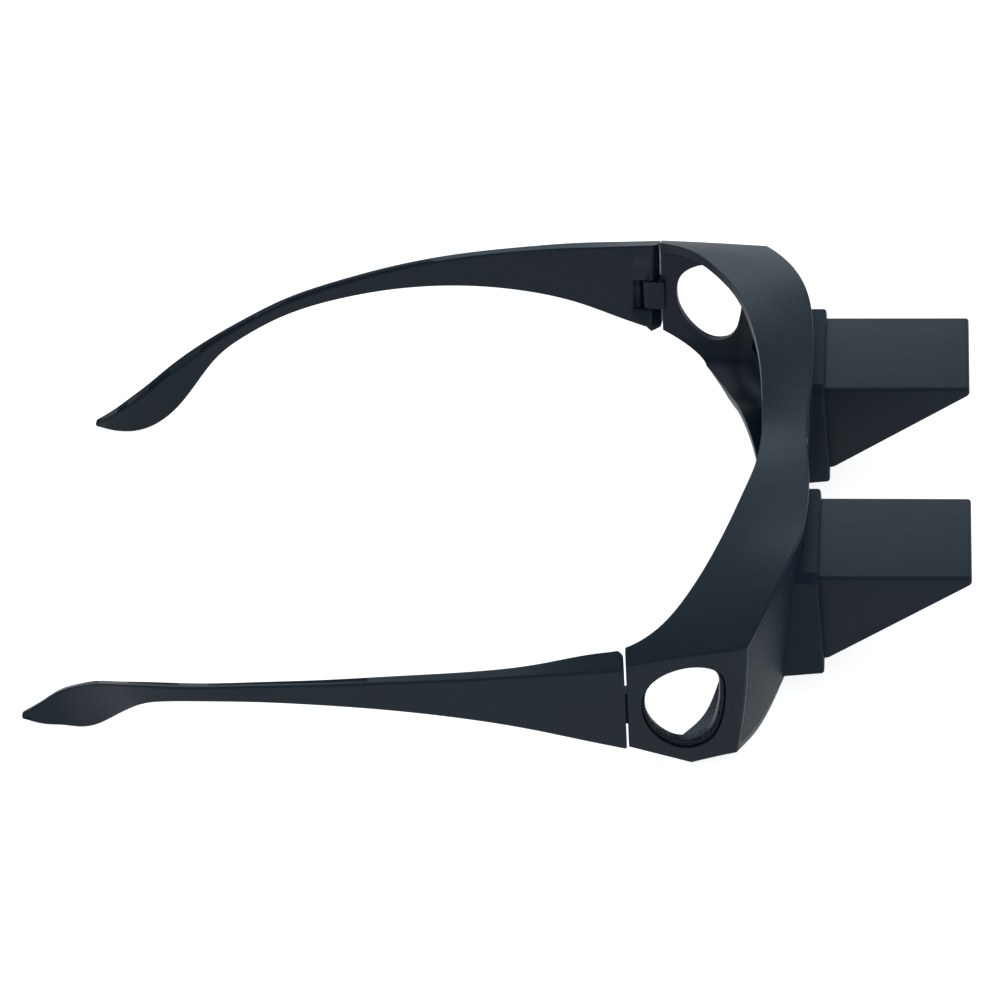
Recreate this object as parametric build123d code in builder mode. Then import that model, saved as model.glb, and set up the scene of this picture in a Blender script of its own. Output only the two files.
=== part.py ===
from build123d import *
import math
import os

os.makedirs("parts", exist_ok=True)

# Prism bed glasses, resting on a table on the lower rim of the front and the tips of the temples.
# Sizes are in the worn frame: x to the wearer's left, y to the back of the head, z up.
# Its origin lies on the middle plane, at the top rear edge of the two prism covers.

# Prism covers: opaque boxes with an open slanted underside
prism_spacing = 66.1
cover_width = 27.3
cover_length = 29.6
cover_height = 19.9
cover_lip = 1.5
cover_heel = 1.0
cover_wall = 1.6
cover_edge_radius = 0.6
socket_depth = 2.4

# Prisms: clear blocks with a slanted face
prism_clearance = 0.1

# Prism bases: eye panels with a raised collar that holds cover and prism
collar_side_margin = 2.2
collar_top_margin = 1.65
collar_bottom_margin = 1.75
collar_flare = 1.5
collar_proud = 0.8
collar_tilt = 1.1
collar_chamfer = 1.6
collar_edge_radius = 0.6
cover_clearance = 0.12
aperture_lip = 1.0
panel_thickness = 2.0
panel_clearance = 0.15

# Front frame: plan
front_half_width = 72.1
front_setback = 2.6
front_wrap = 10.8
end_spread = 4.5
end_back = 36.3
end_slant = 0.25
corner_radius = 0.8
side_lean = 1.8
front_bow = 3.0
front_wall = 3.2
side_wall = 3.0

# Front frame: heights
brow_height = 3.9
brow_arch = 3.2
brow_tilt = 10.3
sole_depth = 24.3
sole_sag = 2.6
ribbon_thickness = 2.2
shelf_thickness = 1.7
hollow_radius = 5.0
hull_top = 10.0
hull_bottom = 28.0
hull_margin = 3.4
cheek_front = 22.6
cheek_rise = 7.0
cheek_radius = 9.0

# Face side of the front frame
face_spread = 0.8
face_lean = 1.4
face_setback = 12.3
face_wrap = 24.7
face_back = 60.0

# Nose arch
nose_half_width = 14.6
nose_height = 18.2
nose_wall = 2.8
bridge_half_width = 7.5
bridge_groove_offset = 4.8
bridge_groove_radius = 2.4
bridge_groove_depth = 0.9

# Eye openings for the prism bases
opening_inner = 16.4
opening_side_rim = 0.9
opening_top_rim = 1.0
opening_bottom_rim = 1.3
opening_rim_swell = 1.1
opening_corner_radius = 1.0
opening_ledge = 2.2
rim_edge_radius = 0.5

# Side windows and their clear lenses
window_back = 25.6
window_drop = 11.8
window_length = 14.6
window_height = 18.6
window_rebate = 0.9
lens_thickness = 1.2
lens_inset = 0.5
lens_clearance = 0.1

# Temples
temple_gap = 0.5
temple_length = 123.2
temple_stand = 1.4
temple_sweep = 25.4
temple_drop = 30.4
temple_root_height = 20.1
temple_root_thickness = 4.7
temple_edge_radius = 0.35
temple_top = 0.1

# Hinges: a lug on the frame inside a slot of the temple, on a vertical screw
hinge_inset = 3.1
hinge_setback = 3.0
lug_radius = 1.5
lug_root = 0.4
lug_top = 7.4
lug_height = 6.9
slot_clearance = 0.35
slot_relief = 1.6
screw_diameter = 1.4
screw_length = 15.4
screw_bottom = 18.7
screw_head_diameter = 2.2
screw_head_height = 0.8
screw_drive_width = 0.4
screw_drive_depth = 0.4
screw_fit = 0.05
root_chamfer = 0.9

# One overrun serves every cut
overrun = 5.0

# The ends, the hinges and the temples keep their places beside the front, whatever its width
end_half_width = front_half_width + end_spread
face_half_width = front_half_width + face_spread
hinge_half_width = end_half_width - hinge_inset
temple_half_width = end_half_width + temple_stand
hull_half_width = end_half_width + hull_margin

# Resting pose: the glasses lie on the sole's front edge and on the lowest point of each temple tip
sole_low = sole_depth + sole_sag
tip_low = 32.6
tip_low_back = 151.5
sole_low_back = 6.0
rest_pitch = math.atan2(tip_low - sole_low, tip_low_back - sole_low_back)
pitch_sin = math.sin(rest_pitch)
pitch_cos = math.cos(rest_pitch)
rear_reach = (end_back + temple_gap + temple_length) * pitch_cos + temple_drop * pitch_sin
front_reach = cover_length * pitch_cos
worn_lift = sole_low * pitch_cos - sole_low_back * pitch_sin

worn = Plane(
    origin=(0, (front_reach - rear_reach) / 2, worn_lift),
    x_dir=(1, 0, 0),
    z_dir=(0, -pitch_sin, pitch_cos),
)


def at(x, y, z):
    """A point of the worn frame."""
    return worn.from_local_coords((x, y, z))


def level(height):
    """A level plane: x to the left, y to the back."""
    return worn.offset(height)


def lengthwise(x):
    """An upright plane along the head: its x runs back, its y up, its normal left."""
    return Plane(origin=at(x, 0, 0), x_dir=worn.y_dir, z_dir=worn.x_dir)


def crosswise(y):
    """An upright plane across the head: its x runs left, its y up, its normal forward."""
    return Plane(origin=at(0, y, 0), x_dir=worn.x_dir, z_dir=-worn.y_dir)


def both_sides(points):
    """Points of the left half, joined to their mirror images."""
    mirrored = [(-x, y) for x, y in reversed(points) if x > 0]
    return mirrored + points


def mirror_point(point):
    """The same point on the other side of the middle plane."""
    return (-point[0], point[1])


# Plan of the front's outer face: shares of its half width and of its wrap
front_shares = (
    (0.0, 0.065),
    (0.1, 0.055),
    (0.2, 0.02),
    (0.3, 0.0),
    (0.45, 0.02),
    (0.59, 0.1),
    (0.71, 0.29),
    (0.8, 0.48),
    (0.9, 0.72),
    (1.0, 1.0),
)

# Plan of the edge on the face side: half width shares, then wrap shares of brow and of shelf
face_shares = (
    (0.0, 0.0, 0.05),
    (0.14, 0.012, 0.055),
    (0.28, 0.05, 0.07),
    (0.41, 0.12, 0.115),
    (0.55, 0.22, 0.2),
    (0.69, 0.36, 0.31),
    (0.795, 0.5, 0.4),
    (0.88, 0.636, 0.52),
    (0.935, 0.755, 0.635),
    (0.975, 0.88, 0.79),
    (1.0, 1.0, 1.0),
)

# Brow seen from the front: hull half width shares, arch shares in front, tilt shares at the back
brow_shares = (
    (0.0, 0.0, 0.0),
    (0.125, 0.0, 0.45),
    (0.25, 0.0, 0.98),
    (0.375, 0.22, 0.93),
    (0.5, 0.63, 0.5),
    (0.625, 1.0, 0.01),
    (0.725, 0.72, -0.07),
    (0.825, -0.03, 0.03),
    (0.9, -0.69, 0.07),
    (1.0, -1.5, -0.04),
)

# Sole seen from the front: hull half width shares, sag shares in front and at the back, and
# shares of the swell that widens the rim below the eye opening
sole_shares = (
    (0.25, 1.6, -2.3, 0.0),
    (0.34, 1.6, -2.3, 0.0),
    (0.43, 1.5, -2.1, 0.0),
    (0.52, 0.65, -0.75, 0.0),
    (0.6, 0.1, 0.2, 0.1),
    (0.66, 0.62, 0.75, 0.75),
    (0.72, 1.0, 1.0, 1.0),
    (0.8, 0.75, 0.95, 1.0),
    (0.9, -1.0, 1.55, 0.0),
    (1.0, -2.0, 1.9, 0.0),
)

# Nose arch: shares of its half width and of its height, from its foot to its crown
nose_shares = ((1.0, 0.0), (0.93, 0.22), (0.78, 0.55), (0.5, 0.86), (0.22, 0.98), (0.0, 1.0))


def bow_and_lean(height):
    """How far the outer face bows back at a height, and how far the sides lean in."""
    fall = (brow_height - height) / (brow_height + hull_bottom)
    return front_bow * fall * abs(fall), side_lean * fall


def hull_section(height, front_inset, side_inset):
    """Plan of the space inside the outer faces at one height, open to the back."""
    bow, lean = bow_and_lean(height)
    half = front_half_width - lean - side_inset
    tail_half = end_half_width - lean - side_inset
    setback = front_setback + bow + front_inset
    front = [(half * across, setback + front_wrap * wrap) for across, wrap in front_shares]
    spread = (tail_half - half) / (end_back - front_setback - front_wrap)
    tail = (tail_half + spread * (face_back - end_back), face_back)
    with BuildSketch(level(height)) as section:
        with BuildLine():
            Spline(both_sides(front))
            Polyline(front[-1], tail, mirror_point(tail), mirror_point(front[-1]))
        make_face()
        fillet(section.vertices().sort_by(Axis.Y)[0:2], corner_radius)
    return section.sketch


def brow_points(y, drop):
    """Upper edge of the front at a distance back, lowered by a drop."""
    reach = y / end_back
    return [
        (hull_half_width * across, brow_height + brow_arch * arch + brow_tilt * tilt * reach - drop)
        for across, arch, tilt in brow_shares
    ]


def sole_points(y, lift, swell):
    """Lower edge of the front at a distance back, raised by a lift and by a swelling rim."""
    reach = y / end_back
    return [
        (
            hull_half_width * across,
            lift + swell * rim - sole_depth - sole_sag * (ahead + (behind - ahead) * reach),
        )
        for across, ahead, behind, rim in sole_shares
    ]


def outline_section(y):
    """Front view of the frame's outline with its nose arch."""
    top = brow_points(y, 0)
    low = sole_points(y, 0, 0)
    arch = [(nose_half_width * out, nose_height * up - sole_depth) for out, up in reversed(nose_shares)]
    with BuildSketch(crosswise(y)) as section:
        with BuildLine():
            Spline(both_sides(top))
            Line(top[-1], low[-1])
            Spline(list(reversed(low)))
            Line(low[0], arch[-1])
            Spline(both_sides(arch))
            Line(mirror_point(arch[-1]), mirror_point(low[0]))
            Spline([mirror_point(point) for point in low])
            Line(mirror_point(low[-1]), mirror_point(top[-1]))
        make_face()
    return section.sketch


def face_section(height, part):
    """Plan of the space that the face takes: part 1 is the brow's edge, part 2 the shelf's."""
    bow, lean = bow_and_lean(height)
    half = face_half_width - lean * face_lean / side_lean
    edge = [(half * row[0], face_setback + face_wrap * row[part]) for row in face_shares]
    with BuildSketch(level(height)) as section:
        with BuildLine():
            Spline(both_sides(edge))
            corner = (half, face_back + overrun)
            Polyline(edge[-1], corner, mirror_point(corner), mirror_point(edge[-1]))
        make_face()
    return section.sketch


def eye_space_section(side, y):
    """Front view of the hollow behind one eye, between the brow ribbon and the shelf."""
    top = [(x, z) for x, z in brow_points(y, ribbon_thickness) if x > bridge_half_width]
    low = sole_points(y, shelf_thickness, 0)
    crown = nose_height - sole_depth
    inner = [
        (nose_half_width + nose_wall, low[0][1]),
        (nose_half_width + nose_wall / 2, low[0][1] + nose_height / 2),
        (bridge_half_width + nose_wall, crown + nose_wall / 2),
        (bridge_half_width, top[0][1]),
    ]
    with BuildSketch(crosswise(y)) as section:
        with BuildLine():
            Spline([(side * x, z) for x, z in [inner[-1]] + top])
            Line((side * top[-1][0], top[-1][1]), (side * low[-1][0], low[-1][1]))
            Spline([(side * x, z) for x, z in reversed(low)])
            Line((side * low[0][0], low[0][1]), (side * inner[0][0], inner[0][1]))
            Spline([(side * x, z) for x, z in inner])
        make_face()
    return section.sketch


def opening_section(side, grow):
    """Front view of one eye opening inside the frame's rim, larger or smaller all round."""
    inner = opening_inner - grow
    outer = front_half_width - opening_side_rim + grow
    rim = brow_points(front_setback, opening_top_rim - grow)
    brow = [(side * x, z) for x, z in rim if x > opening_inner]
    low_rim = sole_points(front_wrap, opening_bottom_rim - grow, opening_rim_swell)
    sole = [(side * x, z) for x, z in low_rim]
    top = [(side * inner, brow[0][1])] + brow
    low = [(side * inner, sole[0][1])] + sole
    rise = brow_height + overrun
    limits = [
        (0, rise),
        (side * (outer - bow_and_lean(rise)[1]), rise),
        (side * (outer - bow_and_lean(-hull_bottom)[1]), -hull_bottom),
        (0, -hull_bottom),
    ]
    with BuildSketch(crosswise(-overrun)) as section:
        with BuildLine():
            Spline(top)
            Line(top[-1], low[-1])
            Spline(list(reversed(low)))
            Line(low[0], top[0])
        make_face()
        Polygon(*limits, align=None, mode=Mode.INTERSECT)
        fillet(section.vertices(), opening_corner_radius)
    return section.sketch


hull_heights = (hull_top, (hull_top - hull_bottom) / 2, -hull_bottom)
outline_backs = (-overrun, end_back + overrun)

pocket_depth = panel_thickness + panel_clearance

# Spaces that shape the front: inside its outer faces, its front view, and the wearer's face
with BuildPart() as outer_space:
    loft([hull_section(height, 0, 0) for height in hull_heights])

with BuildPart() as wall_space:
    loft([hull_section(height, front_wall, 0) for height in hull_heights])
    loft([hull_section(height, 0, side_wall) for height in hull_heights], mode=Mode.INTERSECT)

with BuildPart() as ledge_space:
    loft([hull_section(height, front_wall + panel_clearance, 0) for height in hull_heights])

with BuildPart() as pocket_space:
    loft([hull_section(height, pocket_depth, 0) for height in hull_heights])

with BuildPart() as plug_space:
    loft([hull_section(height, panel_thickness, 0) for height in hull_heights])

with BuildPart() as outline_space:
    loft([outline_section(y) for y in outline_backs])

with BuildPart() as face_space:
    loft([face_section(hull_top, 1), face_section(-hull_bottom, 2)])

with BuildPart() as eye_hollows:
    for side in (1, -1):
        loft([eye_space_section(side, y) for y in outline_backs])
    add(wall_space.part, mode=Mode.INTERSECT)
    for side in (1, -1):
        low_corner = at(side * (end_half_width - side_wall), end_back, -sole_low)
        fillet(eye_hollows.edges().sort_by_distance(low_corner)[0], hollow_radius)
        front_back = front_setback + front_wrap + front_wall
        front_corner = at(side * (front_half_width - side_wall), front_back, -sole_depth / 2)
        fillet(eye_hollows.edges().sort_by_distance(front_corner)[0], hollow_radius)

# Front frame: brow ribbon, shelf, side walls, nose arch and hinge lugs in one moulding
hinge_back = end_back + hinge_setback
window_run = math.atan2(end_half_width - front_half_width, end_back - front_setback - front_wrap)
window_lean = side_lean / (brow_height + hull_bottom)


def window_plane(side):
    """A plane on the outer face of a side wall, at the middle of its window."""
    back = window_back - front_setback - front_wrap
    out = front_half_width + back * math.tan(window_run) - window_lean * (brow_height + window_drop)
    origin = at(side * out, window_back, -window_drop)
    along = worn.y_dir + worn.x_dir * (side * math.tan(window_run))
    outward = worn.x_dir * side - worn.y_dir * math.tan(window_run) - worn.z_dir * window_lean
    return Plane(origin=origin, x_dir=along * side, z_dir=outward)


# Side window seen from outside: shares of its half length and half height, going round
window_shares = (
    (1.0, 0.3),
    (0.93, -0.22),
    (0.55, -0.72),
    (-0.05, -1.0),
    (-0.62, -0.86),
    (-0.9, -0.4),
    (-1.0, 0.3),
    (-0.86, 0.8),
    (-0.35, 0.99),
    (0.3, 0.94),
    (0.8, 0.68),
)


def window_section(side, height, grow):
    """One side window's outline at a height over the outer face of the side wall."""
    half = window_length / 2 + grow
    rise = window_height / 2 + grow
    points = [(side * half * back, rise * up) for back, up in window_shares]
    with BuildSketch(window_plane(side).offset(height)) as section:
        with BuildLine():
            Spline(points, periodic=True)
        make_face()
    return section.sketch


panel_reach = front_setback + front_wrap + panel_thickness + overrun * 2
groove_back = front_setback + bridge_groove_depth - bridge_groove_radius
with BuildPart() as pockets:
    for side in (1, -1):
        extrude(opening_section(side, 0), amount=-panel_reach)
    add(pocket_space.part, mode=Mode.SUBTRACT)

with BuildPart() as ledge_openings:
    for side in (1, -1):
        extrude(opening_section(side, -opening_ledge), amount=-panel_reach)
    add(ledge_space.part, mode=Mode.SUBTRACT)

cheek_end_rise = cheek_rise * (end_back + overrun - cheek_front) / (end_back - cheek_front)
with BuildPart() as front_frame:
    add(outer_space.part)
    add(outline_space.part, mode=Mode.INTERSECT)
    fillet(front_frame.faces().sort_by(Axis.Y)[0].edges(), rim_edge_radius)
    add(face_space.part, mode=Mode.SUBTRACT)
    add(eye_hollows.part, mode=Mode.SUBTRACT)
    with BuildSketch(level(-hull_bottom - overrun)):
        with BuildLine():
            Polyline(
                (hull_half_width + overrun, end_back),
                (end_half_width, end_back),
                (end_half_width - side_wall, end_back + end_slant),
                (side_wall - end_half_width, end_back + end_slant),
                (-end_half_width, end_back),
                (-hull_half_width - overrun, end_back),
                (-hull_half_width - overrun, face_back + overrun),
                (hull_half_width + overrun, face_back + overrun),
                close=True,
            )
        make_face()
    extrude(amount=hull_top + hull_bottom + overrun * 2, mode=Mode.SUBTRACT)
    with BuildSketch(lengthwise(-hull_half_width)) as cheek:
        with BuildLine():
            Polyline(
                (cheek_front, -sole_low),
                (end_back + overrun, cheek_end_rise - sole_low),
                (end_back + overrun, -hull_bottom - overrun),
                (cheek_front - overrun, -hull_bottom - overrun),
                (cheek_front - overrun, -sole_low),
                close=True,
            )
        make_face()
        fillet(cheek.vertices().sort_by_distance((cheek_front, -sole_low, 0))[0], cheek_radius)
    extrude(amount=2 * hull_half_width, mode=Mode.SUBTRACT)
    add(pockets.part, mode=Mode.SUBTRACT)
    add(ledge_openings.part, mode=Mode.SUBTRACT)
    for side in (1, -1):
        window = window_section(side, -side_wall - overrun, 0)
        extrude(window, amount=side_wall + overrun * 2, mode=Mode.SUBTRACT)
        rebate = window_section(side, -lens_inset - lens_thickness, window_rebate)
        extrude(rebate, amount=lens_thickness + overrun, mode=Mode.SUBTRACT)
        with BuildSketch(level(-lug_top - lug_height)):
            with Locations((side * hinge_half_width, hinge_back)):
                Circle(lug_radius)
            with Locations((side * hinge_half_width, (hinge_back + end_back - lug_root) / 2)):
                Rectangle(2 * lug_radius, hinge_setback + lug_root)
        extrude(amount=lug_height)
        with BuildSketch(level(-lug_top - lug_height - overrun)):
            with Locations((side * hinge_half_width, hinge_back)):
                Circle(screw_diameter / 2 + screw_fit)
        extrude(amount=lug_height + 2 * overrun, mode=Mode.SUBTRACT)
        with BuildSketch(level(-nose_height)):
            with Locations((side * bridge_groove_offset, groove_back)):
                Circle(bridge_groove_radius)
        extrude(amount=nose_height + overrun * 2, mode=Mode.SUBTRACT)
front_frame.part.label = "front_frame"
export_step(front_frame.part, "parts/front_frame.step")

# Places of the prism housing
cover_inner = (prism_spacing - cover_width) / 2
prism_middle = prism_spacing / 2
slope_fall = (cover_height - cover_lip) / (cover_length - cover_heel)
collar_bottom = cover_height + collar_bottom_margin
collar_depth = front_setback + front_wrap
prism_width = cover_width - 2 * (cover_wall + prism_clearance)
prism_top = cover_wall + prism_clearance
prism_bottom = cover_height - cover_wall - prism_clearance


def slope_height(y):
    """Height of the slanted underside at a distance back."""
    return -cover_lip - (y + cover_length) * slope_fall


def slope_back(z):
    """Distance back at which the slanted underside has a height."""
    return (-cover_lip - z) / slope_fall - cover_length


# Prism bases: an eye panel in each opening, with a raised collar on its front
with BuildPart() as collar:
    with BuildSketch(lengthwise(prism_middle - cover_width / 2 - collar_side_margin)):
        with BuildLine():
            Polyline(
                (collar_tilt - collar_proud, collar_top_margin),
                (-collar_proud, -collar_bottom),
                (collar_depth, -collar_bottom - collar_flare),
                (collar_depth, collar_top_margin),
                close=True,
            )
        make_face()
    extrude(amount=cover_width + 2 * collar_side_margin)
    chamfer(collar.edges().filter_by(Axis(at(0, 0, 0), worn.y_dir)).sort_by(Axis.Z)[-2:], collar_chamfer)
    fillet(collar.faces().sort_by(Axis.Y)[0].edges(), collar_edge_radius)
    add(outer_space.part, mode=Mode.SUBTRACT)

with BuildPart() as prism_base_left:
    extrude(opening_section(1, -panel_clearance), amount=-panel_reach)
    add(outer_space.part, mode=Mode.INTERSECT)
    add(plug_space.part, mode=Mode.SUBTRACT)
    add(collar.part)
    with BuildSketch(crosswise(-collar_proud - overrun)):
        with Locations((prism_middle, -cover_height / 2)):
            Rectangle(cover_width + 2 * cover_clearance, cover_height + 2 * cover_clearance)
    extrude(amount=-(overrun + socket_depth), mode=Mode.SUBTRACT)
    with BuildSketch(crosswise(-collar_proud - overrun)):
        with Locations((prism_middle, -(prism_top + prism_bottom) / 2)):
            Rectangle(prism_width - 2 * aperture_lip, prism_bottom - prism_top - 2 * aperture_lip)
    extrude(amount=-panel_reach, mode=Mode.SUBTRACT)
prism_base_left.part.label = "prism_base_left"
export_step(prism_base_left.part, "parts/prism_base_left.step")

with BuildPart() as prism_base_right:
    mirror(prism_base_left.part, about=Plane.YZ)
prism_base_right.part.label = "prism_base_right"
export_step(prism_base_right.part, "parts/prism_base_right.step")

# Prism covers: a box open at the back and along its slanted underside
cover_back = socket_depth - collar_proud - cover_clearance
with BuildPart() as prism_cover_left:
    with BuildSketch(lengthwise(cover_inner)):
        with BuildLine():
            Polyline(
                (cover_back, 0),
                (-cover_length, 0),
                (-cover_length, -cover_lip),
                (-cover_heel, -cover_height),
                (cover_back, -cover_height),
                close=True,
            )
        make_face()
    extrude(amount=cover_width)
    front_edges = prism_cover_left.edges().group_by(Axis.Y)[0]
    fillet(front_edges, cover_edge_radius)
    with BuildSketch(lengthwise(cover_inner + cover_wall)):
        with BuildLine():
            Polyline(
                (cover_back + overrun, -cover_wall),
                (cover_wall - cover_length, -cover_wall),
                (cover_wall - cover_length, -cover_height - overrun),
                (slope_back(cover_wall - cover_height), -cover_height - overrun),
                (slope_back(cover_wall - cover_height), cover_wall - cover_height),
                (cover_back + overrun, cover_wall - cover_height),
                close=True,
            )
        make_face()
    extrude(amount=cover_width - 2 * cover_wall, mode=Mode.SUBTRACT)
prism_cover_left.part.label = "prism_cover_left"
export_step(prism_cover_left.part, "parts/prism_cover_left.step")

with BuildPart() as prism_cover_right:
    mirror(prism_cover_left.part, about=Plane.YZ)
prism_cover_right.part.label = "prism_cover_right"
export_step(prism_cover_right.part, "parts/prism_cover_right.step")

# Prisms: upright eye face, mirrored top under the cover, slanted face below
prism_front = cover_wall + prism_clearance - cover_length
with BuildPart() as prism_left:
    with BuildSketch(lengthwise(prism_middle - prism_width / 2)):
        with BuildLine():
            Polyline(
                (cover_back, -prism_top),
                (prism_front, -prism_top),
                (prism_front, slope_height(prism_front)),
                (slope_back(-prism_bottom) - prism_clearance, -prism_bottom + prism_clearance * slope_fall),
                (slope_back(-prism_bottom), -prism_bottom),
                (cover_back, -prism_bottom),
                close=True,
            )
        make_face()
    extrude(amount=prism_width)
prism_left.part.label = "prism_left"
export_step(prism_left.part, "parts/prism_left.step")

with BuildPart() as prism_right:
    mirror(prism_left.part, about=Plane.YZ)
prism_right.part.label = "prism_right"
export_step(prism_right.part, "parts/prism_right.step")

# Side lenses: clear inserts on the ledge of each side window
with BuildPart() as side_lens_left:
    lens = window_section(1, -lens_inset - lens_thickness, window_rebate - lens_clearance)
    extrude(lens, amount=lens_thickness)
side_lens_left.part.label = "side_lens_left"
export_step(side_lens_left.part, "parts/side_lens_left.step")

with BuildPart() as side_lens_right:
    mirror(side_lens_left.part, about=Plane.YZ)
side_lens_right.part.label = "side_lens_right"
export_step(side_lens_right.part, "parts/side_lens_right.step")

# Temples, station by station from the hinge to the tip. Each row has the share of the length,
# then shares of sweep, drop, root height and root thickness, and the lean and the crown of the top
temple_shares = (
    (0.0, 0.03, 0.0, 1.0, 1.0, 0.061, 0.34),
    (0.058, 0.016, 0.013, 0.869, 0.957, 0.054, 0.31),
    (0.148, 0.0, 0.03, 0.671, 0.7, 0.042, 0.14),
    (0.245, 0.0, 0.0625, 0.493, 0.57, 0.03, 0.1),
    (0.359, 0.028, 0.105, 0.352, 0.52, 0.013, 0.04),
    (0.48, 0.098, 0.174, 0.249, 0.48, 0.0, -0.05),
    (0.578, 0.197, 0.247, 0.197, 0.465, -0.048, -0.15),
    (0.675, 0.327, 0.342, 0.174, 0.485, -0.054, -0.2),
    (0.74, 0.465, 0.428, 0.183, 0.525, -0.05, -0.2),
    (0.789, 0.59, 0.497, 0.254, 0.55, 0.0, -0.3),
    (0.828, 0.7, 0.56, 0.408, 0.59, 0.115, -0.4),
    (0.868, 0.827, 0.638, 0.526, 0.57, 0.054, -0.4),
    (0.904, 0.933, 0.727, 0.502, 0.53, -0.028, -0.45),
    (0.935, 0.988, 0.809, 0.404, 0.48, -0.058, -0.4),
    (0.967, 1.0, 0.908, 0.249, 0.41, -0.11, -0.4),
    (1.0, 0.995, 1.0, 0.056, 0.3, -0.1, -0.2),
)


def temple_section(row):
    """Cross-section of the left temple at one station."""
    along, inward, drop, height, thick, lean, crown = row
    back = end_back + temple_gap + temple_length * along
    out = temple_half_width - temple_sweep * inward
    top = temple_top - temple_drop * drop
    depth = temple_root_height * height
    width = temple_root_thickness * thick
    with BuildSketch(crosswise(back)) as section:
        with BuildLine():
            Polyline(
                (out, top),
                (out - width, top + width * crown),
                (out - width - depth * lean, top - depth),
                (out - depth * lean, top - depth),
                close=True,
            )
        make_face()
        fillet(section.vertices(), temple_edge_radius)
    return section.sketch


slot_radius = lug_radius + slot_clearance
slot_bottom = -lug_top - lug_height - slot_clearance
slot_height = lug_height + 2 * slot_clearance
temple_front = end_back + temple_gap
root_inner = temple_half_width - temple_sweep * temple_shares[0][1] - temple_root_thickness
with BuildPart() as temple_left:
    loft([temple_section(row) for row in temple_shares])
    with BuildSketch(level(slot_bottom)):
        with Locations((hinge_half_width, hinge_back)):
            Circle(slot_radius)
        with BuildLine():
            Polyline(
                (hinge_half_width + slot_radius, hinge_back),
                (hinge_half_width + slot_radius, temple_front - overrun),
                (root_inner - overrun, temple_front - overrun),
                (root_inner - overrun, hinge_back + slot_radius + slot_relief),
                (hinge_half_width, hinge_back + slot_radius + slot_relief),
                (hinge_half_width, hinge_back),
                close=True,
            )
        make_face()
    extrude(amount=slot_height, mode=Mode.SUBTRACT)
    with BuildSketch(level(-screw_bottom - overrun)):
        with Locations((hinge_half_width, hinge_back)):
            Circle(screw_head_diameter / 2 + screw_fit)
    extrude(amount=overrun + screw_head_height + screw_fit, mode=Mode.SUBTRACT)
    with BuildSketch(level(-screw_bottom)):
        with Locations((hinge_half_width, hinge_back)):
            Circle(screw_diameter / 2 + screw_fit)
    extrude(amount=screw_length + screw_fit, mode=Mode.SUBTRACT)
    with BuildSketch(level(-screw_bottom - overrun)):
        with BuildLine():
            Polyline(
                (root_inner - overrun, temple_front - overrun),
                (temple_half_width, temple_front - overrun),
                (temple_half_width, temple_front),
                (root_inner + root_chamfer, temple_front + end_slant),
                (root_inner, temple_front + end_slant + root_chamfer),
                (root_inner - overrun, temple_front + end_slant + root_chamfer),
                close=True,
            )
        make_face()
    extrude(amount=temple_root_height + overrun * 3, mode=Mode.SUBTRACT)
temple_left.part.label = "temple_left"
export_step(temple_left.part, "parts/temple_left.step")

with BuildPart() as temple_right:
    mirror(temple_left.part, about=Plane.YZ)
temple_right.part.label = "temple_right"
export_step(temple_right.part, "parts/temple_right.step")

# Hinge screws: a head under the temple, a shank through slot and lug
with BuildPart() as hinge_screw_left:
    with BuildSketch(level(-screw_bottom)):
        with Locations((hinge_half_width, hinge_back)):
            Circle(screw_head_diameter / 2)
    extrude(amount=screw_head_height)
    with BuildSketch(level(-screw_bottom)):
        with Locations((hinge_half_width, hinge_back)):
            Circle(screw_diameter / 2)
    extrude(amount=screw_length)
    with BuildSketch(level(-screw_bottom)):
        with Locations((hinge_half_width, hinge_back)):
            Rectangle(screw_head_diameter * 2, screw_drive_width)
    extrude(amount=screw_drive_depth, mode=Mode.SUBTRACT)
hinge_screw_left.part.label = "hinge_screw_left"
export_step(hinge_screw_left.part, "parts/hinge_screw_left.step")

with BuildPart() as hinge_screw_right:
    mirror(hinge_screw_left.part, about=Plane.YZ)
hinge_screw_right.part.label = "hinge_screw_right"
export_step(hinge_screw_right.part, "parts/hinge_screw_right.step")
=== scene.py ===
"""Prism bed glasses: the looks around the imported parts.

Glasses for reading flat on the back: a wrap-round front of satin slate plastic, a box
with a prism before each eye, clear lenses in the side windows and two folding temples.
They lie open on a pale floor under soft studio light. All lengths are in metres.
"""

import math

import bmesh
import bpy
import numpy as np
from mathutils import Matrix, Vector


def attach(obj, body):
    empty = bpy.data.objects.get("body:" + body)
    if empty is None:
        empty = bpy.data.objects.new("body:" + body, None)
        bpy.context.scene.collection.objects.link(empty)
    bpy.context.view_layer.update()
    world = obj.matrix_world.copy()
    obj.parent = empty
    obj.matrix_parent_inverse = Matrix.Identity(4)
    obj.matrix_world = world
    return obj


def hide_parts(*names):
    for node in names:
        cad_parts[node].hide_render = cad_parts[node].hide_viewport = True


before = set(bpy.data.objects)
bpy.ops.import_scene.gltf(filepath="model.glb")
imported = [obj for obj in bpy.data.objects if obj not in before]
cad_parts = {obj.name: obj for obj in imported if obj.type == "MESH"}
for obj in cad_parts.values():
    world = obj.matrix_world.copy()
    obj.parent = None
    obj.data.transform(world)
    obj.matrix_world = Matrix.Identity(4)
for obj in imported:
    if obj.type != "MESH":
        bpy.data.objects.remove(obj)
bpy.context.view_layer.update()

bl_info = {
    "name": "Prism bed glasses",
    "version": (1, 0, 0),
    "blender": (4, 2, 0),
    "location": "3D View > Sidebar > Bed glasses",
    "description": "Dresses the packed prism bed glasses and lights them",
    "category": "Object",
}

SIDES = {"left": 1.0, "right": -1.0}

# Shapes. Their sizes are the solids' own, in the worn frame: x to the wearer's left, y to the back
# of the head, z up, from the top rear edge of the covers on the middle plane.

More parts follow.
